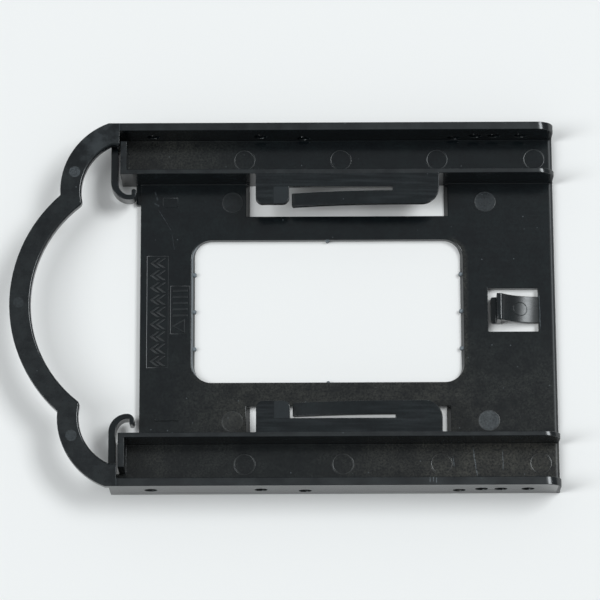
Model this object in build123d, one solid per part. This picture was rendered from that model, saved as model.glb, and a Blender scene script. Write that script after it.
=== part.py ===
from build123d import *
import os
from math import asin, degrees, sqrt

# Drive bay adapter bracket, moulded in one piece of black plastic. It carries a 2.5-inch drive in a 3.5-inch bay.
# X runs along the rails, from the pull handle at -X to the spring clip at +X. The underside is at Z = 0.

# Side rails: a U channel along each side of the tray
bay_width = 101.6           # over the outer walls, as wide as a 3.5-inch drive
rail_length = 121.8
rail_height = 12.7
outer_wall = 2.2
inner_wall = 1.3
drive_gap = 72.4            # between the inner walls, where the drive lies
channel_floor = 2.66
wall_nose = 4.6             # rounding of the wall tops at the clip end
wall_setback = 0.15         # the walls end this much before the floors
channel_start = 2.4         # from the rail's handle end to the channel's end wall
end_wall = 1.75
end_wall_notch = 3.0        # left open between the end wall and the outer wall

# Plate with its main window
plate_thickness = 2.0
plate_edge = 1.0            # rounding of the plate's and the channels' ends at the clip
plate_inset = 7.6           # from the rail's handle end to the plate's edge
window_width = 40.3
window_corner = 4.6
window_slope = 0.75         # the window's two ends lean outwards by this much
window_handle_margin = 15.0
window_clip_margin = 26.0
nub_radius = 0.5            # moulding gates left on the window's edge
nub_height = 1.2
nub_pitch = 10.5

# Openings in the plate below the hold-down flanges
opening_width = 9.3
opening_slope = 1.1         # the opening's ends lean outwards by this much
opening_handle_margin = 30.2
opening_clip_margin = 30.25

# Hold-down flanges, each with a tab and a spring finger
flange_width = 8.65
flange_thickness = 1.6
flange_clearance = 1.75     # from the flange's ends to the ends of the opening below
flange_corner = 4.8
tab_length = 9.2
tab_corner = 1.8
slot_width = 1.1
slot_leg = 0.6              # the gap between the tab and the finger's tip
finger_width = 3.75
finger_root = 12.7          # length of plain flange behind the finger
finger_drop = 3.1           # the tip hangs this far below the flange
finger_nose = 0.4           # rounding of the tip's top edge

# Spring clip that stops the drive, in a window of its own
clip_margin = 4.8           # from the plate's end to the clip's root
clip_window_length = 13.75
clip_window_width = 12.2
clip_width = 7.4
clip_thickness = 1.3
clip_rise = 4.5             # the ridge stands this far above the plate
clip_ridge = 0.3            # rounding of the ridge above the stop face
clip_foot = 1.45
clip_foot_corner = 0.7
clip_foot_gap = 0.7
clip_foot_sink = 0.3        # the foot's top lies this far below the plate's

# J-shaped springs at the handle end
hook_lead = 0.35            # the springs stand this far out from the rail's end
hook_thickness = 1.95
hook_tip = 1.4              # the springs grow thinner towards their barbs
hook_radius = 5.05
hook_reach = 6.1            # the springs reach this far past the inner wall
hook_bottom = 3.5
hook_top = 8.5
barb_reach = 1.6            # along X, from the end of the turn to the barb's tip
barb_length = 3.0
barb_tip = 1.0
barb_nose = 0.4             # rounding of the tip

# Pull handle: a flat band with a wide arc between two lobes
handle_reach = 27.4         # from the rail's end to the tip of the handle
handle_band = 5.75
handle_edge = 0.6           # rounding of the band's inner top edge
handle_thickness = 2.5
handle_root = 2.1           # overlap of the band with the rail
grip_radius = 40.8
lobe_radius = 20.2
lobe_inset = 6.2            # from the rail's handle end to the lobe's centre
lobe_offset = 18.9          # from the rail's outer face to the lobe's centre
lobe_swell = 0.4            # the band grows wider by this much towards its root
lobe_corner = 1.6           # rounding inside the handle, where the lobes meet the grip

# Screw holes in the outer walls, from the hole nearest to the handle
hole_diameter = 3.4
hole_start = 11.15          # from the rail's handle end to that hole
upper_hole_height = 6.35
upper_holes = (0, 29.7, 89.1, 94.3, 101.6)
lower_hole_height = 4.7
lower_holes = (41.6, 83.15)

most_of_edge = 0.9          # the share of an edge that a rounding may take

half_width = bay_width / 2
channel_side = half_width - outer_wall
drive_side = drive_gap / 2
x_end = (rail_length + handle_reach) / 2
x_rail = x_end - rail_length
x_plate = x_rail + plate_inset
x_channel = x_rail + channel_start
x_wall_end = x_end - wall_setback


def both_sides(solid):
    """The solid and its mirror image on the other rail."""
    return solid + mirror(solid, about=Plane.XZ)


def rectangle(x0, x1, y0, y1):
    """A rectangle between two corners."""
    return Pos((x0 + x1) / 2, (y0 + y1) / 2) * Rectangle(x1 - x0, y1 - y0)


def upright(profile, width):
    """A profile drawn in X and Z, extruded to both sides of Y = 0."""
    return extrude(Plane.XZ * profile, amount=width / 2, both=True)


def slab(profile, bottom, top):
    """A profile drawn in X and Y, extruded from one height to another."""
    return extrude(Pos(0, 0, bottom) * profile, amount=top - bottom)


def rounded(profile, radius, *places):
    """The profile with the corners nearest to the given places rounded."""
    corners = [profile.vertices().sort_by_distance(place)[0] for place in places]
    return fillet(corners, radius)


def wall(x0, y0, y1):
    """A wall along the rail, with a rounded nose at the clip end."""
    side = rectangle(x0, x_wall_end, 0, rail_height)
    side = rounded(side, wall_nose, (x_wall_end, rail_height))
    return Pos(0, (y0 + y1) / 2, 0) * upright(side, y1 - y0)


def level_floor(x0, y0, y1, thickness):
    """A flat floor with a rounded edge at the clip end."""
    side = rectangle(x0, x_end, 0, thickness)
    side = rounded(side, min(plate_edge, most_of_edge * thickness), (x_end, thickness))
    return Pos(0, (y0 + y1) / 2, 0) * upright(side, y1 - y0)


def tray():
    """The plate, and along each side a channel between an inner, an outer and an end wall."""
    y_notch = channel_side - end_wall_notch
    channel = level_floor(x_channel, drive_side, half_width, channel_floor)
    channel += level_floor(x_rail, y_notch, half_width, channel_floor)
    channel += wall(x_rail, channel_side, half_width)
    channel += wall(x_channel, drive_side, drive_side + inner_wall)
    channel += slab(rectangle(x_channel, x_channel + end_wall, drive_side, y_notch), 0, rail_height)
    return level_floor(x_plate, -drive_side, drive_side, plate_thickness) + both_sides(channel)


def main_window():
    """The rounded window in the plate, less the gate nubs on its edge."""
    x0 = x_plate + window_handle_margin
    x1 = x_end - window_clip_margin
    bottom = RectangleRounded(x1 - x0, window_width, window_corner)
    top = RectangleRounded(x1 - x0 + 2 * window_slope, window_width, window_corner + window_slope)
    cut = Pos((x0 + x1) / 2, 0) * loft([bottom, Pos(0, 0, plate_thickness) * top])
    places = [(x, y) for x in (x0, x1) for y in (-nub_pitch, 0, nub_pitch)]
    places += [((x0 + x1) / 2, y) for y in (-window_width / 2, window_width / 2)]
    nub = Cylinder(nub_radius, nub_height, align=(Align.CENTER, Align.CENTER, Align.MIN))
    return cut - [Pos(x, y, 0) * nub for x, y in places]


def opening_span():
    """Where the opening below a flange starts and ends along X."""
    return x_plate + opening_handle_margin, x_end - opening_clip_margin


def flange_opening():
    """The opening below one flange, wider at the top than at the bottom."""
    x0, x1 = opening_span()
    profile = make_face(Polyline(
        (x0, 0), (x1, 0), (x1 + opening_slope, plate_thickness), (x0 - opening_slope, plate_thickness), close=True))
    return Pos(0, drive_side - opening_width / 2, 0) * upright(profile, opening_width)


def flange():
    """One hold-down flange: tab, slot and a finger that bends down towards its tip."""
    x0, x1 = opening_span()
    x0 += flange_clearance
    x1 -= flange_clearance
    x_tab = x0 + tab_length
    x_root = x1 - finger_root
    y_edge = drive_side - flange_width
    plan = rectangle(x0, x1, y_edge, drive_side)
    plan -= rectangle(x_tab, x_root, y_edge, y_edge + finger_width + slot_width)
    plan = rounded(plan, flange_corner, (x1, y_edge))
    plan = rounded(plan, tab_corner, (x0, y_edge), (x_tab, y_edge))
    plate = slab(plan, rail_height - flange_thickness, rail_height)

    length = x_root - x_tab - slot_leg
    bend = (length**2 + finger_drop**2) / (2 * finger_drop)
    turn = degrees(asin(length / bend))
    centre = (x_root, rail_height - bend)
    top = CenterArc(centre, bend, 90, turn)
    under = CenterArc(centre, bend - flange_thickness, 90, turn)
    strip = make_face([top, under, Line(top @ 0, under @ 0), Line(top @ 1, under @ 1)])
    strip = rounded(strip, finger_nose, top @ 1)
    return plate + Pos(0, y_edge + finger_width / 2, 0) * upright(strip, finger_width)


def clip_window():
    """The window round the spring clip."""
    x1 = x_end - clip_margin
    cut = rectangle(x1 - clip_window_length, x1, -clip_window_width / 2, clip_window_width / 2)
    return slab(cut, 0, plate_thickness)


def clip():
    """The spring clip: a tongue that curves up to a ridge, a stop face and a foot at plate level."""
    x_root = x_end - clip_margin
    x_tip = x_root - clip_window_length + clip_foot_gap
    x_stop = x_tip + clip_foot
    z_ridge = plate_thickness + clip_rise
    length = x_root - x_stop - clip_thickness
    bend = (length**2 + clip_rise**2) / (2 * clip_rise)
    turn = degrees(asin(length / bend))
    centre = (x_root, plate_thickness + bend)
    top = CenterArc(centre, bend, 270, -turn)
    under = CenterArc(centre, bend + clip_thickness, 270, -turn)
    tongue = make_face([top, under, Line(top @ 0, under @ 0), Line(top @ 1, under @ 1)])
    z_foot = plate_thickness - clip_foot_sink
    leg = rectangle(x_stop, x_stop + clip_thickness, z_foot - clip_thickness, z_ridge)
    leg = rounded(leg, clip_ridge, (x_stop, z_ridge))
    spring = upright(tongue + leg, clip_width)
    foot = rectangle(x_tip, x_stop, -clip_width / 2, clip_width / 2)
    foot = rounded(foot, clip_foot_corner, (x_tip, -clip_width / 2), (x_tip, clip_width / 2))
    return spring + slab(foot, z_foot - clip_thickness, z_foot)


def hook():
    """One J-shaped spring: an arm along the rail's end, a quarter turn and a barb that curls back."""
    x_hook = x_rail - hook_lead
    x_turn, y_turn = x_hook + hook_radius, drive_side - hook_reach
    centre = (x_turn, y_turn + hook_radius)
    arm = rectangle(x_hook, x_hook + hook_thickness, centre[1], channel_side)
    outer = CenterArc(centre, hook_radius, 180, 90)
    inner = EllipticalCenterArc(centre, hook_radius - hook_thickness, hook_radius - hook_tip, 180, arc_size=90)
    turn = make_face([outer, inner, Line(outer @ 0, inner @ 0), Line(outer @ 1, inner @ 1)])
    x_tip, y_tip = x_turn + barb_reach, y_turn + barb_length
    x_back, y_back = x_tip - barb_tip, y_turn + hook_tip
    curl = TangentArc((x_turn, y_turn), (x_tip, y_tip), tangent=(1, 0))
    back = Polyline((x_tip, y_tip), (x_back, y_tip), (x_back, y_back), (x_turn, y_back), (x_turn, y_turn))
    barb = rounded(make_face([curl, back]), barb_nose, (x_tip, y_tip), (x_back, y_tip))
    return slab(arm + turn + barb, hook_bottom, hook_top)


def handle():
    """The pull handle: the discs of grip and lobes together, less the same discs a band smaller."""
    x_grip = x_rail - handle_reach + grip_radius
    x_lobe = x_rail + lobe_inset
    y_lobe = half_width - lobe_offset
    y_inner_lobe = y_lobe - lobe_swell
    inner_lobe_radius = lobe_radius - handle_band
    y_root = y_inner_lobe + sqrt(inner_lobe_radius**2 - lobe_inset**2)

    def discs(grip, lobe, y_centre):
        lobes = [Pos(x_lobe, y) * Circle(lobe) for y in (-y_centre, y_centre)]
        return Pos(x_grip, 0) * Circle(grip) + lobes

    opening = discs(grip_radius - handle_band, inner_lobe_radius, y_inner_lobe)
    opening = fillet(opening.vertices().group_by(Axis.X)[0], lobe_corner)
    plan = discs(grip_radius, lobe_radius, y_lobe) - opening
    plan &= rectangle(x_rail - handle_reach, x_rail, -half_width, half_width)
    plan += rectangle(x_rail, x_rail + handle_root, y_root, half_width)
    plan += rectangle(x_rail, x_rail + handle_root, -half_width, -y_root)
    band = slab(plan, rail_height - handle_thickness, rail_height)
    top = band.faces().sort_by(Axis.Z)[-1]
    inside = slab(offset(opening, handle_edge), 0, 2 * rail_height)
    rim = [edge for edge in top.edges() if inside.is_inside(edge @ 0.5)]
    return fillet(rim, handle_edge)


def screw_holes():
    """The screw holes through one outer wall."""
    drill = Rot(90, 0, 0) * Cylinder(hole_diameter / 2, 2 * outer_wall)
    rows = ((upper_holes, upper_hole_height), (lower_holes, lower_hole_height))
    return [Pos(x_rail + hole_start + x, half_width - outer_wall / 2, z) * drill for xs, z in rows for x in xs]


cuts = both_sides(flange_opening() + screw_holes()) + main_window() + clip_window()
bracket = tray() - cuts + both_sides(flange() + hook()) + clip() + handle()
bracket.label = "bracket"

os.makedirs("parts", exist_ok=True)
export_step(bracket, "parts/bracket.step")
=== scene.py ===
# %% [markdown]
# # A moulded drive bracket, dressed for its portrait
# The bracket is one piece of black ABS. It comes in as a fixed frame from CAD, at its true size and in
# metres, so nothing here moves or scales it. This lesson rounds its edges as a mould would, gives the
# plastic its skin, adds the small marks that a mould leaves, and sets it on a pale table under soft
# light. X runs along the rails from the handle to the clip, Y across them to the far side, and Z up.

# %% Load the frame
import bmesh
import bpy
from math import radians, sqrt
from mathutils import Matrix, Vector


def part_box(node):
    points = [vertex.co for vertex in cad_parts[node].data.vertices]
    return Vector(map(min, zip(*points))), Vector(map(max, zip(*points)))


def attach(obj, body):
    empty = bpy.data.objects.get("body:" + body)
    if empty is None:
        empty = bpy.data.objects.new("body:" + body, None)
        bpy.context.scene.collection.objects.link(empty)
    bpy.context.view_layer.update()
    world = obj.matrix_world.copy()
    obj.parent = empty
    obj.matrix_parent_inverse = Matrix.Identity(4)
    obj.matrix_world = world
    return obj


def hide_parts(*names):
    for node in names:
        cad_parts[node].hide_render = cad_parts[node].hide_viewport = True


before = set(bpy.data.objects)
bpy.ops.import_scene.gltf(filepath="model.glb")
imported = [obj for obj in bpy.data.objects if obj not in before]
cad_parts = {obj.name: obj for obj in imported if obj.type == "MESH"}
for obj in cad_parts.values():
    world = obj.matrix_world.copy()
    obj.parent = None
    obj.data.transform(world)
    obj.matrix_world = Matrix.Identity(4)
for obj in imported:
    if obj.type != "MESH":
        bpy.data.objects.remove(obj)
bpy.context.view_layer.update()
low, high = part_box("bracket")
print("bracket from", [round(1000 * c, 2) for c in low], "to", [round(1000 * c, 2) for c in high], "mm")

# %% [markdown]
# ## Millimetres and colours
# Sizes on a moulding are easiest to think of in millimetres, and colours as the hex values that a colour
# picker shows. Blender wants metres and linear light. Every value could be converted beforehand, but then
# nobody could read it, so one number and one function translate.

# %% Units and colours
MM = 0.001


def linear(hex_colour):
    """A colour as a picker shows it, turned into the linear values that shaders use."""
    channels = [int(hex_colour[i:i + 2], 16) / 255 for i in (0, 2, 4)]
    return [c / 12.92 if c <= 0.04045 else ((c + 0.055) / 1.055) ** 2.4 for c in channels] + [1.0]


print("a picker's mid grey, 808080, is", round(linear("808080")[0], 3), "in linear light")

# %% [markdown]
# ## The moulding and its edges
# On a real moulding no edge is knife-sharp: the cutter that makes the mould leaves a small radius, and
# that radius is what draws the thin bright lines along the rails. A bevel modifier with an angle limit
# would catch every sharp edge, also those that are closer together than the radius, so the edges are
# picked by their angle and place and bevelled in edit mode. Three kinds stay as they are: the facets of
# the handle's own rounding, the tiny gate nubs on the window's edge, and the thin step at the floors'
# clip end. The CAD mesh is loose triangles, so a copy of it is merged first.

# %% Copy the CAD shape and merge it
MERGE_DISTANCE = 0.001 * MM
FLAT_ANGLE = radians(0.3)       # neighbours that turn by less than this are one flat face


def start_edit(piece):
    """Makes a piece the only selected one and opens it in edit mode."""
    bpy.ops.object.select_all(action="DESELECT")
    piece.select_set(True)
    bpy.context.view_layer.objects.active = piece
    bpy.ops.object.mode_set(mode="EDIT")


moulding = bpy.data.objects.new("bracket_moulding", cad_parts["bracket"].data.copy())
bpy.context.scene.collection.objects.link(moulding)
moulding.data.materials.clear()
start_edit(moulding)
bpy.ops.mesh.select_mode(type="EDGE")
bpy.ops.mesh.select_all(action="SELECT")
bpy.ops.mesh.remove_doubles(threshold=MERGE_DISTANCE)
bpy.ops.mesh.dissolve_limited(angle_limit=FLAT_ANGLE)
print("merged copy:", len(bmesh.from_edit_mesh(moulding.data).faces), "faces")

# %% Edges that stay as they are
HANDLE_END = -44.5 * MM         # the handle lies before this
HANDLE_SHARP_ANGLE = radians(75)
FLOOR_STEP = 74.2 * MM          # the thin step at the floors' ends lies past this
CHANNEL = 2.66                  # height of the channels' floors, in millimetres
WINDOW_MIDDLE = 12.0            # along X, in millimetres
NUBS = [(36.6, 0.0), (36.6, 10.5), (0.15, 20.15)]   # from the window's middle, the same on all sides
NUB_REACH = 1.2 * MM            # an edge belongs to a nub when both its ends are as near as this


def stays_sharp(edge):
    """True for an edge of the handle's rounding, of a gate nub or of the step at the floors' ends."""
    ends = [v.co for v in edge.verts]
    if max(end.x for end in ends) < HANDLE_END:
        return edge.calc_face_angle() < HANDLE_SHARP_ANGLE
    if all(end.x > FLOOR_STEP and end.z < CHANNEL * MM for end in ends):
        return True
    folded_ends = [Vector((abs(end.x - WINDOW_MIDDLE * MM), abs(end.y))) for end in ends]
    return any(all((end - Vector(nub) * MM).length < NUB_REACH for end in folded_ends) for nub in NUBS)


print("edges that stay:", sum(stays_sharp(edge) for edge in bmesh.from_edit_mesh(moulding.data).edges))

# %% Edges with a wider rounding
RIM_LENGTH = 37.35              # half the length and width of the window's upper rim, in millimetres
RIM_WIDTH = 20.15
PLATE = 2.0                     # height of the plate
RIDGE = 59.5                    # where the clip's ridge turns into its tongue
RIDGE_FOOT = 6.0                # the ridge is higher than this
CLIP_SIDE = 3.7                 # half the clip's width
NEAR = 0.3                      # an edge lies on the rim or the ridge when it is as near as this
FLUSH = 0.01                    # and level with the plate when it is as near as this


def is_wide(edge):
    """True for an edge of the window's upper rim or of the clip's ridge."""
    middle = (edge.verts[0].co + edge.verts[1].co) / 2 / MM
    at_window = abs(middle.x - WINDOW_MIDDLE) < RIM_LENGTH + NEAR and abs(middle.y) < RIM_WIDTH + NEAR
    at_ridge = abs(middle.x - RIDGE) < NEAR and abs(middle.y) < CLIP_SIDE
    return at_window and abs(middle.z - PLATE) < FLUSH or at_ridge and middle.z > RIDGE_FOOT


print("edges of the rim and the ridge:", sum(map(is_wide, bmesh.from_edit_mesh(moulding.data).edges)))

# %% Bevel the edges
SHARP_ANGLE = radians(40)
EDGE_RADIUS = 0.16 * MM
WIDE_RADIUS = 0.32 * MM
BEVEL_STEPS = 3


def bevel_sharp(piece, radius, test):
    """Bevels the sharp edges of the piece in edit mode that pass a test."""
    bpy.ops.mesh.select_all(action="DESELECT")
    bpy.ops.mesh.edges_select_sharp(sharpness=SHARP_ANGLE)
    mesh = bmesh.from_edit_mesh(piece.data)
    for edge in mesh.edges:
        if edge.select and not test(edge):
            edge.select_set(False)
    bmesh.update_edit_mesh(piece.data)
    bpy.ops.mesh.bevel(offset=radius, segments=BEVEL_STEPS, affect="EDGES", clamp_overlap=False)


bevel_sharp(moulding, WIDE_RADIUS, is_wide)
bevel_sharp(moulding, EDGE_RADIUS, lambda edge: not stays_sharp(edge))
print("bevelled:", len(bmesh.from_edit_mesh(moulding.data).faces), "faces")

# %% [markdown]
# ## Flat faces and soft edges
# A large flat face can be filled in more than one way, and one with a notched edge may be filled straight
# across the window. Cut into triangles, it looks the same in every program. Smooth shading alone would
# also bend the light on the flat faces, so a weighted normal modifier lets the large faces decide.

# %% Cut into triangles, shade, and join the frame
def shade(piece):
    """Smooths the active piece's roundings and keeps its flat faces flat."""
    bpy.ops.object.shade_smooth_by_angle(angle=SHARP_ANGLE)
    bpy.ops.object.modifier_add(type="WEIGHTED_NORMAL")
    piece.modifiers[-1].keep_sharp = True
    bpy.ops.object.modifier_apply(modifier=piece.modifiers[-1].name)


bpy.ops.mesh.select_all(action="SELECT")
bpy.ops.mesh.quads_convert_to_tris()
bpy.ops.object.mode_set(mode="OBJECT")
shade(moulding)
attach(moulding, "root")
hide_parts("bracket")
print("moulding:", len(moulding.data.polygons), "faces")

# %% [markdown]
# ## The handle's inner rounding
# Along the inside of the handle the CAD mesh is an uneven patchwork of thin triangles, and a highlight on
# it would break up into dots. Smoothing the mesh would change the handle's shape. But the rounding
# follows three arcs, so the true direction of its surface is known at every point, and it is written into
# the mesh as custom normals.

# %% Normals along the handle's inside
HANDLE_ROUNDING = 0.6 * MM
SLACK = 0.03 * MM               # the mesh only comes this near to the true arcs
RISE_SLACK = 0.01
RAIL_START = -46.8 * MM         # the rounding ends here, before the rails
WIDE_ARC = 35.05                # radii of the wide arc and of the lobes beside it, in millimetres
LOBE = 14.45
ARCS = [((-33.8, 0.0), WIDE_ARC), ((-41.0, 31.5), LOBE), ((-41.0, -31.5), LOBE)]
normals = [corner.vector.copy() for corner in moulding.data.corner_normals]
written = 0
for loop in moulding.data.loops:
    place = moulding.data.vertices[loop.vertex_index].co
    rise = 1 - (high[2] - place.z) / HANDLE_ROUNDING
    if place.x > RAIL_START or rise < -RISE_SLACK:
        continue
    inward = Vector((0, 0, 0))
    for centre, radius in ARCS:
        to_centre = Vector((centre[0] * MM - place.x, centre[1] * MM - place.y, 0))
        if -SLACK < to_centre.length - radius * MM < HANDLE_ROUNDING + SLACK:
            inward += to_centre.normalized()
    if inward.length > 0:
        rise = min(max(rise, 0), 1)
        normals[loop.index] = inward.normalized() * sqrt(1 - rise**2) + Vector((0, 0, rise))
        written += 1
moulding.data.normals_split_custom_set(normals)
print("normals written at", written, "face corners")

# %% [markdown]
# ## Black ABS
# ABS is a satin plastic with an IOR near 1.54. Coloured black through and through, almost all that the
# eye sees of it is reflection, so roughness matters more than colour. An image could hold its wear, but
# node patterns on Object coordinates stay sharp at any size and lie still in the plastic from every side.
# One small function adds a node with its settings and links.

# %% A node helper and the plain plastic
ABS_IOR = 1.54


def add_node(tree, kind, settings=None, inputs=None):
    """Adds a shader node, sets its properties, sets or links its inputs, and gives its outputs."""
    node = tree.nodes.new("ShaderNode" + kind)
    for name, value in (settings or {}).items():
        setattr(node, name, value)
    for key, value in (inputs or {}).items():
        if isinstance(value, bpy.types.NodeSocket):
            tree.links.new(value, node.inputs[key])
        else:
            node.inputs[key].default_value = value
    return node.outputs


abs_black = bpy.data.materials.new("moulded_black_abs")
abs_black.use_nodes = True
skin = abs_black.node_tree
shader = skin.nodes["Principled BSDF"]
shader.inputs["IOR"].default_value = ABS_IOR
moulding.data.materials.append(abs_black)
print("material:", abs_black.name)

# %% [markdown]
# ## Masks from places
# Wear and dust depend on where a point lies, so its X, Y and Z are turned into masks. They could be
# painted on by hand, but a map range node does it exactly: it gives 0 at the place in its input 1, 1 at
# the place in its input 2, and fades in between. Where 3 and 4 are given, they take the place of 0 and 1.
# So each fade below is a name for these numbers. Two masks multiplied leave what both cover, and the
# larger of two leaves what either covers.

# %% Coordinates of a point
AND = {"operation": "MULTIPLY"}
OR = {"operation": "MAXIMUM"}
coordinates = add_node(skin, "TexCoord")
surface = coordinates["Object"]
x, y, z = add_node(skin, "SeparateXYZ", inputs={0: surface})
_, _, facing_up = add_node(skin, "SeparateXYZ", inputs={0: coordinates["Normal"]})
from_middle = add_node(skin, "Math", {"operation": "ABSOLUTE"}, {0: y})[0]
print("coordinates:", len(skin.nodes), "nodes so far")

# %% [markdown]
# ## Where hands and drives rub
# The skin comes off a polished steel mould. The tops of the rails and the handle are gripped most, drives
# scrape over the raised marks on the floors and over the clip's tongue, and the floors' ends are knocked.
# All these places are duller than the rest. A second material could cover them, but its border would be a
# hard line, so masks blend one roughness into the next.

# %% Gripped tops of the rails and the handle
AT_RAILS = {1: 36.1 * MM, 2: 36.3 * MM}     # from the middle: past the inner walls' faces
AT_HANDLE = {1: -44.0 * MM, 2: -44.6 * MM}
AT_TOP = {1: 12.3 * MM, 2: 12.6 * MM}
LEVEL = {1: 0.985, 2: 0.998}                # how much of the normal points up
on_rails = add_node(skin, "MapRange", inputs={0: from_middle, **AT_RAILS})[0]
on_handle = add_node(skin, "MapRange", inputs={0: x, **AT_HANDLE})[0]
above = add_node(skin, "MapRange", inputs={0: z, **AT_TOP})[0]
level = add_node(skin, "MapRange", inputs={0: facing_up, **LEVEL})[0]
on_top = add_node(skin, "Math", AND, {0: above, 1: level})[0]
gripped = add_node(skin, "Math", OR, {0: on_rails, 1: on_handle})[0]
rubbed_tops = add_node(skin, "Math", AND, {0: on_top, 1: gripped})[0]
print("gripped tops:", len(skin.nodes), "nodes so far")

# %% Raised marks on the floors
FLOORS = {3: PLATE * MM, 4: CHANNEL * MM}   # height of the plate, and of the channels in the rails
RAISED = {1: 0.01 * MM, 2: 0.04 * MM}
SHALLOW = {1: 0.36 * MM, 2: 0.33 * MM}
OFF_CLIP = {1: 56.5 * MM, 2: 56.0 * MM}
BESIDE_CLIP = {1: 3.7 * MM, 2: 4.2 * MM}
floor_height = add_node(skin, "MapRange", inputs={0: on_rails, **FLOORS})[0]
above_floor = add_node(skin, "Math", {"operation": "SUBTRACT"}, {0: z, 1: floor_height})[0]
raised = add_node(skin, "MapRange", inputs={0: above_floor, **RAISED})[0]
shallow = add_node(skin, "MapRange", inputs={0: above_floor, **SHALLOW})[0]
marks = add_node(skin, "Math", AND, {0: raised, 1: shallow})[0]
off_clip = add_node(skin, "MapRange", inputs={0: x, **OFF_CLIP})[0]
beside_clip = add_node(skin, "MapRange", inputs={0: from_middle, **BESIDE_CLIP})[0]
not_clip = add_node(skin, "Math", OR, {0: off_clip, 1: beside_clip})[0]
rubbed_marks = add_node(skin, "Math", AND, {0: marks, 1: not_clip})[0]
rubbed = add_node(skin, "Math", OR, {0: rubbed_tops, 1: rubbed_marks})[0]
print("raised marks:", len(skin.nodes), "nodes so far")

# %% Roughness of the clip and the floors' ends
ON_RIDGE = {1: 61.0 * MM, 2: 60.4 * MM}     # the tongue runs from the ridge to its root in the plate
PAST_ROOT = {1: 69.6 * MM, 2: 70.0 * MM}
KNOCKED = {1: 73.3 * MM, 2: 73.7 * MM}      # the floors' rounded ends
MOULDED_ROUGHNESS = 0.18
CLIP_ROUGHNESS = 0.28
END_ROUGHNESS = 0.45
on_ridge = add_node(skin, "MapRange", inputs={0: x, **ON_RIDGE})[0]
past_root = add_node(skin, "MapRange", inputs={0: x, **PAST_ROOT})[0]
past_tongue = add_node(skin, "Math", OR, {0: on_ridge, 1: past_root})[0]
off_tongue = add_node(skin, "Math", OR, {0: not_clip, 1: past_tongue})[0]
clip_roughness = add_node(skin, "MapRange", inputs={
    0: off_tongue, 3: CLIP_ROUGHNESS, 4: MOULDED_ROUGHNESS})[0]
at_clip_end = add_node(skin, "MapRange", inputs={0: x, **KNOCKED})[0]
end_roughness = add_node(skin, "MapRange", inputs={0: at_clip_end, 3: clip_roughness, 4: END_ROUGHNESS})[0]
print("roughness from", MOULDED_ROUGHNESS, "as moulded to", END_ROUGHNESS, "at the ends")

# %% Roughness of the rubbed places, in patches
PATCH = 5.0 * MM
NOISE = {1: 0.3, 2: 0.7}                    # nearly all of a noise lies between these values
RAIL_RUB = {3: 0.28, 4: 0.38}               # roughness of the least and the most rubbed patches
HANDLE_RUB = {3: 0.22, 4: 0.33}
patches = add_node(skin, "TexNoise", inputs={
    "Vector": surface, "Scale": 1 / PATCH, "Detail": 4.0, "Roughness": 0.6})[0]
rail_rub = add_node(skin, "MapRange", inputs={0: patches, **NOISE, **RAIL_RUB})[0]
handle_rub = add_node(skin, "MapRange", inputs={0: patches, **NOISE, **HANDLE_RUB})[0]
uneven = add_node(skin, "MapRange", inputs={0: on_handle, 3: rail_rub, 4: handle_rub})[0]
rub_roughness = add_node(skin, "MapRange", inputs={0: rubbed, 3: end_roughness, 4: uneven})[0]
print("rubbed places:", len(skin.nodes), "nodes so far")

# %% [markdown]
# ## Flow streaks and grain
# The melt runs along the rails and leaves faint streaks that way, and the steel of the mould leaves a
# very fine grain. Both could be modelled as relief, but a streak has next to no height, so the streaks
# only change the roughness, and the grain is a bump.

# %% Streaks along the rails, and grain
STREAK_LENGTH = 14.0 * MM
STREAK_WIDTH = 0.9 * MM
STREAK_CHANGE = {3: -0.015, 4: 0.015}
GRAIN = 0.40 * MM               # finer on the real skin, drawn as coarse as it needs to show
flow = add_node(skin, "Mapping", inputs={
    "Vector": surface, "Scale": (1 / STREAK_LENGTH, 1 / STREAK_WIDTH, 1 / STREAK_WIDTH)})[0]
streaks = add_node(skin, "TexNoise", inputs={"Vector": flow, "Scale": 1.0, "Detail": 3.0})[0]
streak_roughness = add_node(skin, "MapRange", inputs={0: streaks, **NOISE, **STREAK_CHANGE})[0]
skin_roughness = add_node(skin, "Math", {"operation": "ADD"}, {0: rub_roughness, 1: streak_roughness})[0]
grain = add_node(skin, "TexNoise", inputs={"Vector": surface, "Scale": 1 / GRAIN, "Detail": 2.0})[0]
print("streaks and grain:", len(skin.nodes), "nodes so far")

# %% [markdown]
# ## Dust
# A bracket that has lain about gathers dust, and dust settles on what lies low: the plate and the
# channels' floors, most of it towards the near side. It is a thin warm grey film that breaks up into
# patches a few millimetres wide, with single grits in it. Particles could be scattered, but a film this
# thin has no shape, so it is mixed into the colour and the roughness. How thick it lies is worked out for
# the plate, the channels and the window's rim one after the other.

# %% Surfaces that dust lies on
NEAR_FLOOR = {1: 3.3 * MM, 2: 3.0 * MM}
LYING = {1: 0.4, 2: 0.8}                    # how much of the normal points up
near_floor = add_node(skin, "MapRange", inputs={0: z, **NEAR_FLOOR})[0]
lying = add_node(skin, "MapRange", inputs={0: facing_up, **LYING})[0]
low_lying = add_node(skin, "Math", AND, {0: near_floor, 1: lying})[0]
print("dust lies below", round(NEAR_FLOOR[1] / MM, 1), "mm")

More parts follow.
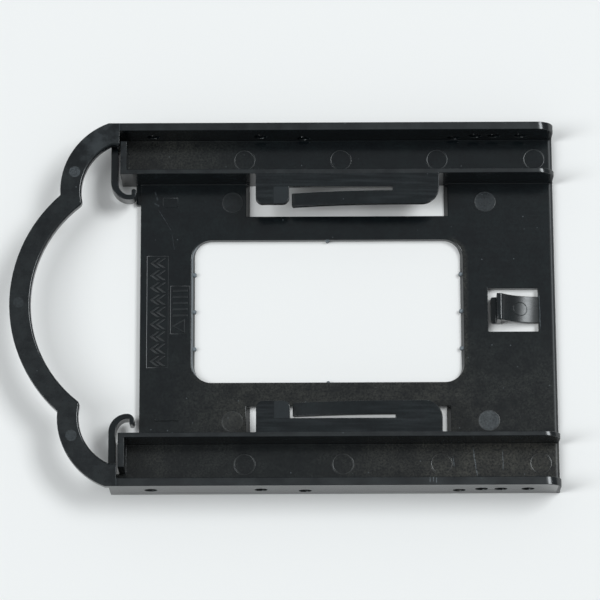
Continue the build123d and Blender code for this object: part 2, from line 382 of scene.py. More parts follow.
# %% Dust on the plate
PAST_HANDLE_END = {1: -32 * MM, 2: -12 * MM, 3: 0.2, 4: 1.3}
TO_NEAR_SIDE = {1: 0 * MM, 2: -26 * MM}
TO_CLIP = {1: 42 * MM, 2: 56 * MM, 3: 1.0, 4: 0.55}
along_plate = add_node(skin, "MapRange", inputs={0: x, **PAST_HANDLE_END})[0]
near_plate = add_node(skin, "MapRange", inputs={0: y, **TO_NEAR_SIDE})[0]
less_by_clip = add_node(skin, "MapRange", inputs={0: x, **TO_CLIP})[0]
plate_share = add_node(skin, "Math", AND, {0: along_plate, 1: less_by_clip})[0]
on_plate = add_node(skin, "Math", AND, {0: plate_share, 1: near_plate})[0]
print("dust on the plate:", len(skin.nodes), "nodes so far")

# %% Dust in the channels
TO_HANDLE_END = {1: -5 * MM, 2: -35 * MM, 3: 0.35, 4: 0.8}
TO_CLIP_END = {1: 5 * MM, 2: 60 * MM, 4: 1.7}
NEAR_CHANNEL = {1: -36.8 * MM, 2: -37.5 * MM}
FAR_CHANNEL = {1: 37 * MM, 2: 38 * MM}
FAR_CORNER = {1: -5 * MM, 2: -30 * MM}
handle_end = add_node(skin, "MapRange", inputs={0: x, **TO_HANDLE_END})[0]
clip_end = add_node(skin, "MapRange", inputs={0: x, **TO_CLIP_END})[0]
along_channel = add_node(skin, "Math", {"operation": "ADD"}, {0: handle_end, 1: clip_end})[0]
in_near_channel = add_node(skin, "MapRange", inputs={0: y, **NEAR_CHANNEL})[0]
near_side = add_node(skin, "MapRange", inputs={0: in_near_channel, 3: on_plate, 4: along_channel})[0]
in_far_channel = add_node(skin, "MapRange", inputs={0: y, **FAR_CHANNEL})[0]
by_handle = add_node(skin, "MapRange", inputs={0: x, **FAR_CORNER})[0]
far_corner = add_node(skin, "Math", AND, {0: in_far_channel, 1: by_handle})[0]
sheltered = add_node(skin, "Math", OR, {0: near_side, 1: far_corner})[0]
print("dust in the channels:", len(skin.nodes), "nodes so far")

# %% Distance from the window's rim
RIM_CORNER = 5.35               # radius of the rim's corners, in millimetres
past_middle = add_node(skin, "Math", {"operation": "SUBTRACT"}, {0: x, 1: WINDOW_MIDDLE * MM})[0]
along_window = add_node(skin, "Math", {"operation": "ABSOLUTE"}, {0: past_middle})[0]
on_side = add_node(skin, "CombineXYZ", inputs={0: along_window, 1: from_middle})[0]
past_corner = add_node(skin, "VectorMath", {"operation": "SUBTRACT"}, {
    0: on_side, 1: ((RIM_LENGTH - RIM_CORNER) * MM, (RIM_WIDTH - RIM_CORNER) * MM, 0)})[0]
outside = add_node(skin, "VectorMath", {"operation": "MAXIMUM"}, {0: past_corner, 1: (0, 0, 0)})[0]
from_corner = add_node(skin, "VectorMath", {"operation": "LENGTH"}, {0: outside})["Value"]
past_rim = add_node(skin, "Math", {"operation": "SUBTRACT"}, {0: from_corner, 1: RIM_CORNER * MM})[0]
print("rim:", 2 * RIM_LENGTH, "by", 2 * RIM_WIDTH, "mm with corners of", RIM_CORNER, "mm")

# %% Dust along the window's near and right rims
BY_RIM = {1: 1.6 * MM, 2: 0.6 * MM, 4: 1.1}
NEAR_RIM = {1: -16 * MM, 2: -20 * MM}
RIGHT_RIM = {1: 45 * MM, 2: 48.5 * MM}
by_rim = add_node(skin, "MapRange", inputs={0: past_rim, **BY_RIM})[0]
near_rim = add_node(skin, "MapRange", inputs={0: y, **NEAR_RIM})[0]
right_rim = add_node(skin, "MapRange", inputs={0: x, **RIGHT_RIM})[0]
dusty_rims = add_node(skin, "Math", OR, {0: near_rim, 1: right_rim})[0]
rim_dust = add_node(skin, "Math", AND, {0: by_rim, 1: dusty_rims})[0]
gathered = add_node(skin, "Math", OR, {0: sheltered, 1: rim_dust})[0]
settled = add_node(skin, "Math", AND, {0: low_lying, 1: gathered})[0]
print("dust along the rims:", len(skin.nodes), "nodes so far")

# %% The film, in patches and grits
GRIT = 0.55 * MM
IN_PATCHES = {1: 0.35, 2: 0.70, 3: 0.35}    # the thinnest patches keep about a third of the film
IN_GRITS = {1: 0.30, 2: 0.75, 4: 0.22}      # the thickest grit hides about a fifth of the black
grit = add_node(skin, "TexNoise", inputs={
    "Vector": surface, "Scale": 1 / GRIT, "Detail": 4.0, "Roughness": 0.7})[0]
patch_share = add_node(skin, "MapRange", inputs={0: patches, **IN_PATCHES})[0]
grit_share = add_node(skin, "MapRange", inputs={0: grit, **IN_GRITS})[0]
film = add_node(skin, "Math", AND, {0: patch_share, 1: grit_share})[0]
dust = add_node(skin, "Math", AND, {0: settled, 1: film})[0]
print("dust:", len(skin.nodes), "nodes so far")

# %% [markdown]
# ## Specks, prints and painted light on the nubs
# Three kinds of small pale marks come next. Single specks of dust lie anywhere. Some ejector pins end
# flush with the plastic and leave only a pale print, and two of the raised pin marks on the plate are
# scuffed. The gates that fed the melt in were snapped off, and the thin nubs left there catch light from
# the table: that light is painted on their tops as pale spots. None of these has a height worth
# modelling, so each is a small disc in the material, and all are gathered in one mask of scuffs and
# painted light.

# %% Single specks
SPECK_SPACING = 3 * MM
SPECK = {1: 0.075, 2: 0.045}                # its radius, as a share of the spacing
SOME = {1: 0.55, 2: 0.60, 4: 0.3}           # only some of the cells hold one
cells = add_node(skin, "TexVoronoi", inputs={"Vector": surface, "Scale": 1 / SPECK_SPACING})
speck = add_node(skin, "MapRange", inputs={0: cells["Distance"], **SPECK})[0]
picked = add_node(skin, "MapRange", inputs={0: cells["Color"], **SOME})[0]
specks = add_node(skin, "Math", AND, {0: speck, 1: picked})[0]
print("specks:", len(skin.nodes), "nodes so far")

# %% Flush prints of pins, and scuffs on the plate's pin marks
TOP = 12.7                      # height of the handle, in millimetres
PRINTS = [                      # place and radius in millimetres, and how pale the print is
    ((-57.3, 36.9, TOP), 1.6, 0.26),
    ((-57.3, -36.9, TOP), 1.6, 0.15),
    ((-72.05, 0.0, TOP), 1.5, 0.07),
    ((55.7, -31.0, PLATE), 2.9, 0.22),
    ((55.7, 31.0, PLATE), 2.9, 0.09),
]
PRINT_CORE = 0.9                # a print fades in the last tenth of its radius
SPECKLED = {1: 0.35, 2: 0.65, 3: 0.4, 4: 1.3}
speckle = add_node(skin, "MapRange", inputs={0: grit, **SPECKLED})[0]
scuffs_and_painted_light = specks
for place, radius, share in PRINTS:
    distance = add_node(skin, "VectorMath", {"operation": "DISTANCE"}, {
        0: surface, 1: Vector(place) * MM})["Value"]
    disc = add_node(skin, "MapRange", inputs={
        0: distance, 1: radius * MM, 2: PRINT_CORE * radius * MM, 4: share})[0]
    pale = add_node(skin, "Math", AND, {0: disc, 1: speckle})[0]
    scuffs_and_painted_light = add_node(skin, "Math", OR, {0: scuffs_and_painted_light, 1: pale})[0]
print("prints:", len(PRINTS))

# %% Painted light on the nubs where the gates were snapped off
NUB_TOP = 1.2                   # height of the nubs, in millimetres
# Painted light: a pale spot on the top of each thin gate nub stands for the light that it catches from the
# table.
NUB_LIGHT = {1: 0.75 * MM, 2: 0.60 * MM}
folded = add_node(skin, "CombineXYZ", inputs={0: along_window, 1: from_middle, 2: z})[0]
for along, across in NUBS:
    nub = Vector((along, across, NUB_TOP)) * MM
    distance = add_node(skin, "VectorMath", {"operation": "DISTANCE"}, {0: folded, 1: nub})["Value"]
    nub_light = add_node(skin, "MapRange", inputs={0: distance, **NUB_LIGHT})[0]
    scuffs_and_painted_light = add_node(skin, "Math", OR, {0: scuffs_and_painted_light, 1: nub_light})[0]
print("breaks:", len(skin.nodes), "nodes so far")

# %% [markdown]
# ## Lines and blotches
# A pale line along the window's left rim is a painted highlight: it stands for the lamp on the right,
# mirrored in the rim's rounding. Flow marks run along the tops of the flanges, whose tabs carry a slightly
# paler pad. Where the handle meets the rails there is a fine seam, and its far root has pale blotches. A
# brush could draw them on an image, but their places are known in millimetres, so they are masks like the
# others.

# %% Painted highlight along the window's left rim
# Painted highlight: a pale line just inside the window's left rim stands for the lamp on the right, mirrored
# in the rim's rounding.
LINE_INSIDE = 0.10 * MM         # the line's middle lies this far inside the rim
HIGHLIGHT_LINE = {1: 0.17 * MM, 2: 0.10 * MM}
LEFT_RIM = {1: -23.0 * MM, 2: -24.5 * MM}
from_line = add_node(skin, "Math", {"operation": "ADD"}, {0: past_rim, 1: LINE_INSIDE})[0]
rim_distance = add_node(skin, "Math", {"operation": "ABSOLUTE"}, {0: from_line})[0]
highlight_line = add_node(skin, "MapRange", inputs={0: rim_distance, **HIGHLIGHT_LINE})[0]
left_rim = add_node(skin, "MapRange", inputs={0: x, **LEFT_RIM})[0]
painted_rim_highlight = add_node(skin, "Math", AND, {0: highlight_line, 1: left_rim})[0]
scuffs_and_painted_light = add_node(skin, "Math", OR, {0: scuffs_and_painted_light, 1: painted_rim_highlight})[0]
print("painted rim highlight:", len(skin.nodes), "nodes so far")

# %% Flow marks along the flanges' tops
FLOW_LINES = {1: 0.45, 2: 0.70, 4: 0.05}
ungripped = add_node(skin, "Math", {"operation": "SUBTRACT"}, {0: 1.0, 1: gripped})[0]
flange_top = add_node(skin, "Math", AND, {0: on_top, 1: ungripped})[0]
flow_lines = add_node(skin, "MapRange", inputs={0: streaks, **FLOW_LINES})[0]
flow_marks = add_node(skin, "Math", AND, {0: flow_lines, 1: flange_top})[0]
scuffs_and_painted_light = add_node(skin, "Math", OR, {0: scuffs_and_painted_light, 1: flow_marks})[0]
print("flow marks:", len(skin.nodes), "nodes so far")

# %% Seam at the handle's root
SEAM_PLACE = -45.1 * MM
SEAM_LINE = {1: 0.14 * MM, 2: 0.06 * MM, 4: 0.14}
from_seam = add_node(skin, "Math", {"operation": "SUBTRACT"}, {0: x, 1: SEAM_PLACE})[0]
seam_side = add_node(skin, "Math", {"operation": "ABSOLUTE"}, {0: from_seam})[0]
seam_line = add_node(skin, "MapRange", inputs={0: seam_side, **SEAM_LINE})[0]
seam = add_node(skin, "Math", AND, {0: seam_line, 1: rubbed_tops})[0]
print("seam at", round(SEAM_PLACE / MM, 1), "mm")

# %% Pads on the flanges' tabs
TAB_MIDDLE = -0.75 * MM
TAB_PAD_LENGTH = {1: 2.1 * MM, 2: 1.9 * MM, 4: 0.07}    # from the tab's middle, to both sides
TAB_PAD_EDGE = {1: 32.5 * MM, 2: 32.3 * MM}             # from the bracket's middle
from_pad = add_node(skin, "Math", {"operation": "SUBTRACT"}, {0: x, 1: TAB_MIDDLE})[0]
pad_length = add_node(skin, "Math", {"operation": "ABSOLUTE"}, {0: from_pad})[0]
along_pad = add_node(skin, "MapRange", inputs={0: pad_length, **TAB_PAD_LENGTH})[0]
inner_edge = add_node(skin, "MapRange", inputs={0: from_middle, **TAB_PAD_EDGE})[0]
tab_pad = add_node(skin, "Math", AND, {0: along_pad, 1: inner_edge})[0]
pad_top = add_node(skin, "Math", AND, {0: tab_pad, 1: on_top})[0]
print("pads on the tabs:", len(skin.nodes), "nodes so far")

# %% Blotches at the handle's far root
FAR_ROOT = {1: 34 * MM, 2: 42 * MM, 4: 0.10}
IN_BLOTCHES = {1: 0.40, 2: 0.62}
far_root = add_node(skin, "MapRange", inputs={0: y, **FAR_ROOT})[0]
root_blotches = add_node(skin, "MapRange", inputs={0: patches, **IN_BLOTCHES})[0]
far_film = add_node(skin, "Math", AND, {0: far_root, 1: root_blotches})[0]
handle_top = add_node(skin, "Math", AND, {0: on_top, 1: on_handle})[0]
blotches = add_node(skin, "Math", AND, {0: far_film, 1: handle_top})[0]
for mark in (seam, pad_top, blotches):
    scuffs_and_painted_light = add_node(skin, "Math", OR, {0: scuffs_and_painted_light, 1: mark})[0]
print("blotches:", len(skin.nodes), "nodes so far")

# %% [markdown]
# ## Scratches and a painted highlight
# A scratch is a line that the plastic's skin was dragged along, and it shows as a paler streak that
# wavers a little and breaks up. It could be a groove in the mesh, but it has hardly any depth, so it
# stays in the material. A mapping node lays a scratch's own axes along it, and then its ends and its
# sides fade out by themselves. One line in the list, across the clip's root, is no scratch: it is a
# painted highlight for the light on the step where the tongue meets the plate, drawn the same way.

# %% Where the scratches and the clip's highlight line are
SCRATCHES_AND_HIGHLIGHT = [                   # start, end and half width in millimetres, and how pale it is
    ((-34.9, 29.3), (-31.0, 22.8), 0.09, 0.28),
    ((-30.9, 21.8), (-30.2, 17.3), 0.08, 0.22),
    ((-35.7, 34.2), (-34.9, 31.4), 0.28, 0.16),
    ((-35.9, 30.9), (-34.3, 30.0), 0.25, 0.16),
    ((45.7, -41.0), (45.9, -43.9), 0.18, 0.45),
    ((51.1, -38.4), (52.3, -47.0), 0.19, 0.60),
    ((59.2, -39.2), (59.2, -45.2), 0.17, 0.50),
    # Painted highlight: not a scratch, but the light on the step where the clip's tongue meets the plate.
    ((70.1, 5.2), (70.3, -6.0), 0.16, 0.40),
    ((38.9, -48.7), (38.9, -50.2), 0.16, 0.60),
    ((39.8, -48.7), (39.8, -50.0), 0.16, 0.60),
    ((40.7, -48.7), (40.7, -50.3), 0.16, 0.60),
]
WOBBLE = 0.5 * MM
WOBBLE_LENGTH = 3 * MM
BROKEN_UP = {1: 0.30, 2: 0.60}
wobble = add_node(skin, "TexNoise", inputs={"Vector": surface, "Scale": 1 / WOBBLE_LENGTH})["Color"]
drift = add_node(skin, "VectorMath", {"operation": "MULTIPLY_ADD"}, {
    0: wobble, 1: (WOBBLE, WOBBLE, 0), 2: surface})[0]
grit_breaks = add_node(skin, "MapRange", inputs={0: grit, **BROKEN_UP})[0]
faces_up = add_node(skin, "Math", OR, {0: low_lying, 1: on_top})[0]
print("scratches:", len(SCRATCHES_AND_HIGHLIGHT))

# %% Draw the scratches and the highlight line
FULL_LENGTH = 0.7               # a scratch is at its full strength over this share of its length and width
FULL_WIDTH = 0.4


def pale_line(start, end, half_width, share):
    """A mask along a pale line, a scratch or the painted highlight at the clip's root, as strong as its
    share, that fades out at its sides and ends.
    """
    middle = (Vector(start) + Vector(end)) / 2 * MM
    along = (Vector(end) - Vector(start)).to_3d()
    reach = along.length / 2 * MM
    centred = add_node(skin, "Mapping", {"vector_type": "TEXTURE"}, {
        "Vector": drift, "Location": (middle.x + WOBBLE / 2, middle.y + WOBBLE / 2, 0),
        "Rotation": along.to_track_quat("X", "Z").to_euler()})[0]
    lengthways, sideways, _ = add_node(skin, "SeparateXYZ", inputs={0: centred})
    length = add_node(skin, "Math", {"operation": "ABSOLUTE"}, {0: lengthways})[0]
    side = add_node(skin, "Math", {"operation": "ABSOLUTE"}, {0: sideways})[0]
    ends = add_node(skin, "MapRange", inputs={0: length, 1: reach, 2: FULL_LENGTH * reach, 4: share})[0]
    line = add_node(skin, "MapRange", inputs={
        0: side, 1: half_width * MM, 2: FULL_WIDTH * half_width * MM})[0]
    return add_node(skin, "Math", AND, {0: ends, 1: line})[0]


for line in SCRATCHES_AND_HIGHLIGHT:
    line_mask = add_node(skin, "Math", AND, {0: pale_line(*line), 1: grit_breaks})[0]
    line_mask = add_node(skin, "Math", AND, {0: line_mask, 1: faces_up})[0]
    scuffs_and_painted_light = add_node(skin, "Math", OR, {0: scuffs_and_painted_light, 1: line_mask})[0]
print("scratches drawn:", len(skin.nodes), "nodes so far")

# %% [markdown]
# ## The finished skin
# Now the masks meet the shader. The black is a little paler in blotches, where the skin is hazy. Dust and
# scuffs lie over it and make it duller, and the same pale colour paints the highlights on the window's
# left rim and the clip's root and the light on the gate nubs. Three shaders could be mixed, one for each
# layer, but the plastic below is the same, so only its colour, its roughness and its fine bump change.

# %% Colour
BLACK = linear("070B0F")
PALER_BLACK = linear("11181A")
DUST = linear("7A7468")
# Pale colour of the scuffs. It also paints the highlights on the left rim and the clip's root, and the light
# on the gate nubs.
SCUFF_AND_HIGHLIGHT = linear("767D82")
HAZY = {1: 0.02, 2: 0.11}
hazy = add_node(skin, "MapRange", inputs={0: film, **HAZY})[0]
black = add_node(skin, "Mix", {"data_type": "RGBA"}, {0: hazy, 6: BLACK, 7: PALER_BLACK})[2]
dusty_colour = add_node(skin, "Mix", {"data_type": "RGBA"}, {0: dust, 6: black, 7: DUST})[2]
colour = add_node(skin, "Mix", {"data_type": "RGBA"}, {0: scuffs_and_painted_light, 6: dusty_colour, 7: SCUFF_AND_HIGHLIGHT})[2]
skin.links.new(colour, shader.inputs["Base Color"])
print("black in linear light:", [round(c, 4) for c in BLACK[:3]])

# %% Roughness and bump
DUST_ROUGHNESS = 0.35
GRAIN_BUMP = {"Strength": 0.10, "Distance": 0.01 * MM}
worn_and_painted_light = add_node(skin, "Math", OR, {0: dust, 1: scuffs_and_painted_light})[0]
roughness = add_node(skin, "MapRange", inputs={0: worn_and_painted_light, 3: skin_roughness, 4: DUST_ROUGHNESS})[0]
bump = add_node(skin, "Bump", inputs={"Height": grain, **GRAIN_BUMP})[0]
skin.links.new(roughness, shader.inputs["Roughness"])
skin.links.new(bump, shader.inputs["Normal"])
print("plastic:", len(skin.nodes), "nodes")

# %% [markdown]
# ## Marks of the ejector pins
# When the mould opens, steel pins push the bracket off it, and each pin's round end leaves its print:
# matte discs on the plate, and rings on the channels' floors and on the clip. They could be cut into the
# moulding with a boolean, but they are only a few hundredths of a millimetre high, so each is a thin disc
# half sunk in the plastic. Its top face is inset and pushed down, which leaves a rim. One disc of each
# size is modelled and then copied to its places.

# %% Tools to pick faces and round edges
ROUND_STEPS = 2
TOP_FACE = 0.5                  # a face looks up when more of its normal than this does


def pick_top(piece):
    """Selects the faces of a piece in edit mode that look up, and no others."""
    bpy.ops.mesh.select_mode(type="FACE")
    bpy.ops.mesh.select_all(action="DESELECT")
    mesh = bmesh.from_edit_mesh(piece.data)
    for face in mesh.faces:
        face.select_set(face.normal.z > TOP_FACE)
    bmesh.update_edit_mesh(piece.data)


def round_off(piece, radius):
    """Bevels the sharp edges of a piece in edit mode and closes it."""
    bpy.ops.mesh.select_mode(type="EDGE")
    bpy.ops.mesh.select_all(action="DESELECT")
    bpy.ops.mesh.edges_select_sharp(sharpness=SHARP_ANGLE)
    bpy.ops.mesh.bevel(offset=radius, segments=ROUND_STEPS, affect="EDGES")
    bpy.ops.object.mode_set(mode="OBJECT")
    bpy.ops.object.transform_apply(location=True, rotation=True, scale=True)
    shade(piece)


print("small pieces are rounded in", ROUND_STEPS, "steps")

# %% One pin mark
PIN_SIDES = 64
RIM_SLOPE = 0.06 * MM
PIN_SOFTNESS = 0.02 * MM


def pin_mark(name, radius, height, rim, sink):
    """A thin disc, half of it below Z = 0, with a rim round a sunk middle."""
    bpy.ops.object.select_all(action="DESELECT")
    bpy.ops.mesh.primitive_cylinder_add(vertices=PIN_SIDES, radius=radius * MM, depth=2 * height * MM)
    mark = bpy.context.object
    mark.name = name
    start_edit(mark)
    pick_top(mark)
    bpy.ops.mesh.inset(thickness=rim * MM)
    bpy.ops.mesh.inset(thickness=RIM_SLOPE)
    bpy.ops.transform.translate(value=(0, 0, -sink * MM))
    round_off(mark, PIN_SOFTNESS)
    return mark


plate_mark = pin_mark("plate_pin_mark", radius=2.95, height=0.05, rim=0.30, sink=0.02)
print("one pin mark:", len(plate_mark.data.polygons), "faces")

# %% Pin marks on the plate
PLATE_ROWS = (31.0, -31.0)      # the pins' rows, from the middle, in millimetres


def set_out(model, places):
    """Copies a model to every place in millimetres, each copy with its own mesh, and lets all ride along."""
    model.data.materials.append(abs_black)
    pieces = [model]
    for number in range(1, len(places)):
        piece = bpy.data.objects.new(f"{model.name}_{number + 1}", model.data.copy())
        bpy.context.scene.collection.objects.link(piece)
        pieces.append(piece)
    for piece, place in zip(pieces, places):
        piece.data.transform(Matrix.Translation(Vector(place) * MM))
        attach(piece, "root")
    print("pieces of", model.name + ":", len(pieces))


set_out(plate_mark, [(along, row, PLATE) for along in (-14.2, 55.7) for row in PLATE_ROWS])

# %% Pin marks in the channels
CHANNEL_ROW = 43.0
DUST_DEPTH = 0.018              # the two near marks at the clip end lie this much lower, deep in dust
channel_pins = [(along, CHANNEL_ROW, CHANNEL) for along in (-10.9, 15.8, 42.5, 69.4)]
channel_pins += [(along, -CHANNEL_ROW, CHANNEL) for along in (-10.9, 15.8)]
channel_pins += [(along, -CHANNEL_ROW, CHANNEL - DUST_DEPTH) for along in (42.5, 69.4)]
channel_mark = pin_mark("channel_pin_mark", radius=3.0, height=0.035, rim=0.36, sink=0.03)
set_out(channel_mark, channel_pins)

# %% [markdown]
# ## The mark on the clip
# The clip's tongue is curved, and a flat disc would stand off it. So this ring starts as a torus, which
# has no middle: it is flattened in edit mode, and then every point is lifted by the height of the tongue
# below it. A shrinkwrap modifier would press the ring flat.

# %% Ring on the clip's tongue
CLIP_ROOT = 69.8                # where the tongue leaves the plate, in millimetres
CLIP_BEND = 14.04               # radius of its curve
RING_PLACE = 64.8
RING_RADIUS = 1.85 * MM
RING_LINE = 0.13 * MM           # half the width of the ring's line
RING_SIDES = 8
FLATTER = 0.5
bpy.ops.object.select_all(action="DESELECT")
bpy.ops.mesh.primitive_torus_add(
    major_segments=PIN_SIDES, minor_segments=RING_SIDES, major_radius=RING_RADIUS, minor_radius=RING_LINE)
clip_ring = bpy.context.object
clip_ring.name = "clip_pin_mark"
start_edit(clip_ring)
bpy.ops.mesh.select_all(action="SELECT")
bpy.ops.transform.resize(value=(1, 1, FLATTER))
bpy.ops.object.mode_set(mode="OBJECT")
set_out(clip_ring, [(RING_PLACE, 0, PLATE)])
for point in clip_ring.data.vertices:
    run = CLIP_ROOT - point.co.x / MM
    point.co.z += (CLIP_BEND - sqrt(CLIP_BEND**2 - run**2)) * MM
bpy.ops.object.shade_smooth()

# %% [markdown]
# ## Moulded marks on the plate
# Mouldings carry raised marks that are engraved in the mould. This one has two thin frames at the handle
# end: the long one holds a row of double chevrons that point towards the handle, and the short one an
# arrow head and bars. A third, small frame lies beside the far rail. Lines could be drawn as curves with
# a thickness, but a frame that starts as a flat block keeps square corners: its top is inset, and the
# inner face is pushed into the plate.

# %% Frames
FRAMES = [                      # name, ends along X, ends along Y and width of the line in millimetres
    ("long_frame", -37.8, -31.8, -16.0, 15.7, 0.28),
    ("short_frame", -31.3, -25.9, -6.5, 7.2, 0.28),
    ("far_locator_frame", -33.5, -29.3, 29.5, 32.4, 0.30),
]
FRAME_HEIGHT = 0.08 * MM
FRAME_SOFTNESS = 0.03 * MM
PUSHED_IN = 1.5                 # how far the inner face goes down, in heights of the mark


def block(name, length, depth, height):
    """A flat block in edit mode, half of it below Z = 0: its height in metres, the rest in millimetres."""
    bpy.ops.object.select_all(action="DESELECT")
    bpy.ops.mesh.primitive_cube_add(size=1, scale=(length * MM, depth * MM, 2 * height))
    piece = bpy.context.object
    piece.name = name
    bpy.ops.object.transform_apply(location=True, rotation=True, scale=True)
    start_edit(piece)
    return piece


for name, x0, x1, y0, y1, line_width in FRAMES:
    moulded_frame = block(name, x1 - x0, y1 - y0, FRAME_HEIGHT)
    pick_top(moulded_frame)
    bpy.ops.mesh.inset(thickness=line_width * MM)
    bpy.ops.transform.translate(value=(0, 0, -PUSHED_IN * FRAME_HEIGHT))
    round_off(moulded_frame, FRAME_SOFTNESS)
    set_out(moulded_frame, [((x0 + x1) / 2, (y0 + y1) / 2, PLATE)])

# %% [markdown]
# ## Chevrons, arrow head and bars
# The signs inside the frames stand a little higher than the frames. A chevron could be two bars joined,
# but their corner would need trimming. Here one bar is cut across its middle, and the middle is pulled
# out to a point, which keeps both arms alike. The arrow head is a three-sided disc that is hollowed like
# a frame.

# %% One chevron
SIGN_HEIGHT = 0.16 * MM
SIGN_SOFTNESS = 0.07 * MM
CHEVRON_POINT = 1.9 * MM
AT_MIDDLE = 0.1 * MM
chevron = block("chevron", length=0.75, depth=2.9, height=SIGN_HEIGHT)
bpy.ops.mesh.select_mode(type="EDGE")
bpy.ops.mesh.select_all(action="DESELECT")
edges = bmesh.from_edit_mesh(chevron.data)
for edge in edges.edges:
    edge.select_set(abs(edge.verts[0].co.y - edge.verts[1].co.y) > AT_MIDDLE)
bmesh.update_edit_mesh(chevron.data)
bpy.ops.mesh.subdivide(number_cuts=1)
bpy.ops.mesh.select_mode(type="VERT")
bpy.ops.mesh.select_all(action="DESELECT")
points = bmesh.from_edit_mesh(chevron.data)
for point in points.verts:
    point.select_set(abs(point.co.y) < AT_MIDDLE)
bmesh.update_edit_mesh(chevron.data)
bpy.ops.transform.translate(value=(-CHEVRON_POINT, 0, 0))
round_off(chevron, SIGN_SOFTNESS)
print("one chevron:", len(chevron.data.polygons), "faces")

# %% Rows of chevrons
COLUMNS = (-34.6, -32.9)        # along X, in millimetres
FIRST_ROW = -14.1               # along Y
ROW_STEP = 3.47
ROWS = 9
set_out(chevron, [(column, FIRST_ROW + ROW_STEP * row, PLATE) for row in range(ROWS) for column in COLUMNS])

# %% Arrow head
ARROW_RADIUS = 2.4 * MM
ARROW_LINE = 0.55 * MM
ARROW_TURN = radians(90)
ARROW_PLACE = (-28.4, -4.2, PLATE)
bpy.ops.object.select_all(action="DESELECT")
bpy.ops.mesh.primitive_cylinder_add(
    vertices=3, radius=ARROW_RADIUS, depth=2 * SIGN_HEIGHT, rotation=(0, 0, ARROW_TURN))
arrow = bpy.context.object
arrow.name = "arrow_head"
start_edit(arrow)
pick_top(arrow)
bpy.ops.mesh.inset(thickness=ARROW_LINE)
bpy.ops.transform.translate(value=(0, 0, -PUSHED_IN * SIGN_HEIGHT))
round_off(arrow, SIGN_SOFTNESS)
set_out(arrow, [ARROW_PLACE])

# %% Bars
BAR_SOFTNESS = 0.08 * MM
BAR_COLUMN = -28.6              # along X, in millimetres
FIRST_BAR = -1.2                # along Y
BAR_STEP = 1.75
BARS = 5
bar = block("bar", length=4.0, depth=0.65, height=SIGN_HEIGHT)
round_off(bar, BAR_SOFTNESS)
set_out(bar, [(BAR_COLUMN, FIRST_BAR + BAR_STEP * number, PLATE) for number in range(BARS)])

# %% [markdown]
# ## A raised pad and a block of painted shade
# Beside the near rail, at the handle end, the plate carries a small raised pad. It is a bar with sloped
# sides, which catch the light: a block whose top is inset and lifted. A bevel alone would round them
# instead. At the far corner a small dark block sticks out from the plate's edge towards the spring. It is
# painted shade: it stands for the shadow between the spring's barb and the plate's edge. The CAD shape is
# the same on both sides and only this side has the block, so it is made here.

# %% Locating pad
PAD_HEIGHT = 0.30 * MM
PAD_SLOPE = 0.22 * MM
PAD_LIFT = 0.10 * MM
PAD_SOFTNESS = 0.04 * MM
PAD_PLACE = (-32.15, -29.95, PLATE)
pad = block("near_locator_pad", length=6.3, depth=1.7, height=PAD_HEIGHT)
pick_top(pad)
bpy.ops.mesh.inset(thickness=PAD_SLOPE)
bpy.ops.transform.translate(value=(0, 0, PAD_LIFT))
round_off(pad, PAD_SOFTNESS)
set_out(pad, [PAD_PLACE])

# %% Painted shade at the far corner
# Painted shade: a small dark block of the plastic stands for the shadow between the spring's barb and the
# plate's edge.
SHADE_BLOCK_HALF = 0.8                  # half its height, in millimetres
SHADE_BLOCK_SOFTNESS = 0.25 * MM
SHADE_BLOCK_PLACE = (-40.1, 33.35, SHADE_BLOCK_HALF)
shade_block = block("far_corner_shade_block", length=1.6, depth=5.9, height=SHADE_BLOCK_HALF * MM)
round_off(shade_block, SHADE_BLOCK_SOFTNESS)
set_out(shade_block, [SHADE_BLOCK_PLACE])

# %% [markdown]
# ## Fillets at the foot of the inner walls
# Where a wall rises from a floor, a mould has a small radius, because a sharp inner corner would crack.
# On the far side it shows as a fine light line along the wall's foot. The moulding's own inner corner
# could be filleted, but other edges end in it. A thin strip with rounded edges, half sunk in the wall and
# the plate, gives the same line.

# %% Wall foot fillets
WALL_FACE = 36.2                # the inner walls' inner faces, from the middle, in millimetres
FILLET = 0.14
FILLET_SOFTNESS = 0.8 * FILLET * MM
FEET = [("wall_foot_handle_end", -39.6, -10.6), ("wall_foot_clip_end", 45.6, 73.6)]
for name, start, end in FEET:
    foot = block(name, length=end - start, depth=2 * FILLET, height=FILLET * MM)
    round_off(foot, FILLET_SOFTNESS)
    set_out(foot, [((start + end) / 2, side * WALL_FACE, PLATE) for side in (1, -1)])

# %% [markdown]
# ## Table and light
# The bracket lies on a white table between two softboxes, one on each side, and the room gives an even
# light from all round. The right one is brightest at its far end, so a smaller lamp stands in front of it
# there: its mirror image is the bright band on the clip's tongue. One lamp overhead would be simpler, but
# the plate would mirror it, and in this light the plate stays dark while the curved and rubbed parts
# shine.

# %% Table
TABLE_SIZE = 6.0
TABLE_GAP = 0.03 * MM           # keeps the table's face apart from the bracket's underside
TABLE_WHITE = linear("F2F0EE")
TABLE_ROUGHNESS = 0.9
bpy.ops.object.select_all(action="DESELECT")
bpy.ops.mesh.primitive_plane_add(size=TABLE_SIZE, location=(0, 0, -TABLE_GAP))
table = bpy.context.object
table.name = "table"
table_white = bpy.data.materials.new("white_table")
table_white.use_nodes = True
table_shader = table_white.node_tree.nodes["Principled BSDF"]
table_shader.inputs["Base Color"].default_value = TABLE_WHITE
table_shader.inputs["Roughness"].default_value = TABLE_ROUGHNESS
table_shader.inputs["Specular IOR Level"].default_value = 0.0
table.data.materials.append(table_white)
print("table:", TABLE_SIZE, "m wide")

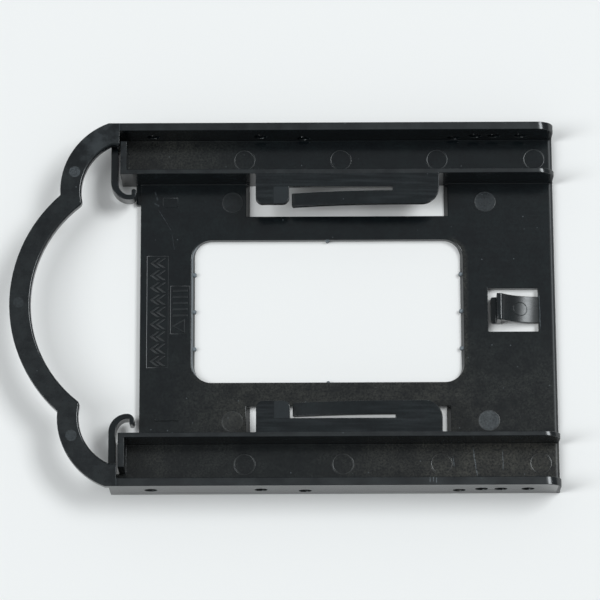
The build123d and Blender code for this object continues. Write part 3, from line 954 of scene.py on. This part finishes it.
# %% Light of the room
ROOM_LIGHT = 0.32
COOL_WHITE = linear("F2F8FB")
world = bpy.data.worlds.new("studio")
bpy.context.scene.world = world
world.use_nodes = True
sky = world.node_tree.nodes["Background"]
sky.inputs["Color"].default_value = COOL_WHITE
sky.inputs["Strength"].default_value = ROOM_LIGHT
print("room light:", ROOM_LIGHT)

# %% Softboxes and the lamp
LAMPS = [                       # name, place, width and length in metres, and power in watts
    ("softbox_right", (1.04, -0.05, 1.70), 0.90, 1.45, 2.4),
    ("softbox_left", (-1.18, -0.25, 1.62), 0.50, 1.45, 20.0),
    ("lamp_right", (1.04, 0.49, 1.66), 0.88, 0.60, 19.0),
]
for name, place, width, length, power in LAMPS:
    bpy.ops.object.light_add(type="AREA", location=place)
    lamp = bpy.context.object
    lamp.name = name
    lamp.data.shape = "RECTANGLE"
    lamp.data.size = width
    lamp.data.size_y = length
    lamp.data.energy = power
    lamp.data.color = COOL_WHITE[:3]
    lamp.rotation_euler = (-Vector(place)).to_track_quat("-Z", "Y").to_euler()
print("lamps:", len(bpy.data.lights))

# %% [markdown]
# ## Camera
# The photographer stood nearly above the bracket, a little to the near side, with a long lens. A camera
# can be moved and turned by hand until the view fits, but here its angles are known. Pitch, yaw and roll
# turn it about the point that it aims at, and then it backs off along its own axis.

# %% Camera
LENS = 187.69
SENSOR = 36.0
AIM = Vector((4.368, 3.545, 0)) * MM
DISTANCE = 862.16 * MM
PITCH = radians(14.262)
YAW = radians(-0.365)
ROLL = radians(0.121)
camera_data = bpy.data.cameras.new("camera")
camera_data.lens = LENS
camera_data.sensor_width = SENSOR
camera = bpy.data.objects.new("camera", camera_data)
bpy.context.scene.collection.objects.link(camera)
turn = Matrix.Rotation(YAW, 4, "Z") @ Matrix.Rotation(PITCH, 4, "X") @ Matrix.Rotation(ROLL, 4, "Z")
camera.matrix_world = Matrix.Translation(AIM) @ turn @ Matrix.Translation((0, 0, DISTANCE))
bpy.context.scene.camera = camera
bpy.context.scene.view_settings.view_transform = "Standard"
print("camera at", [round(1000 * c, 2) for c in camera.matrix_world.translation], "mm")
